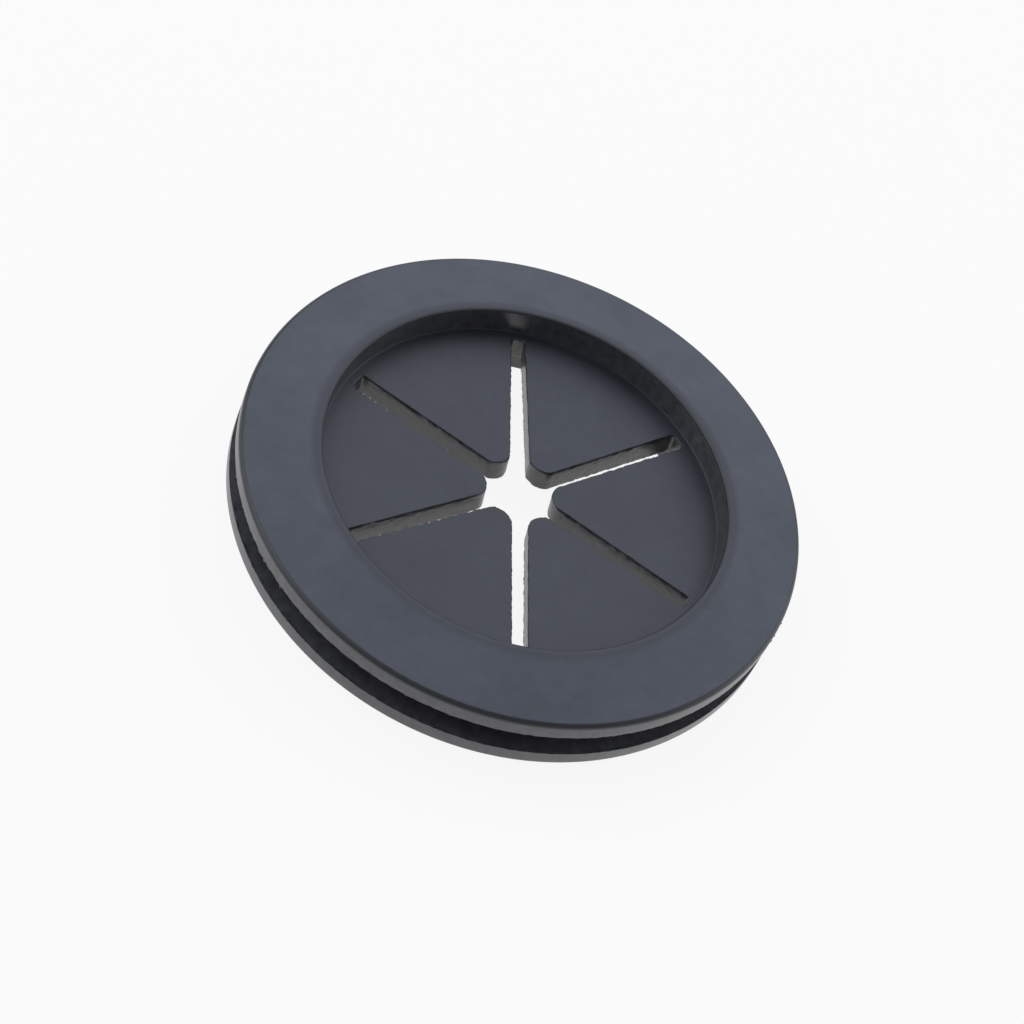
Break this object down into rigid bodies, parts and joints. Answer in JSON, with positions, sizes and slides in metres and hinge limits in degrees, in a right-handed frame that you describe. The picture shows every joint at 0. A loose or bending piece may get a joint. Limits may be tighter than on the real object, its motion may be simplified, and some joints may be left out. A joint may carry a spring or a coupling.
{
  "type": "rubber grommet",
  "caption": "Round black rubber cable-entry grommet with a panel groove, a recess in each face and a thin slit-star web that closes round cables.",
  "frame": {"origin": "on the ring's axis, at the plane of the lower seat ring, the centre of the foot of the bounding box", "axes": "+Z along the ring's axis, up through the upper face; +X along the first slit of the star"},
  "size_m": [0.06, 0.06, 0.009],
  "materials": {
    "moulded_rubber": "matt moulded"
  },
  "bodies": {
    "root": {"grommet": "moulded_rubber"}
  },
  "joints": []
}
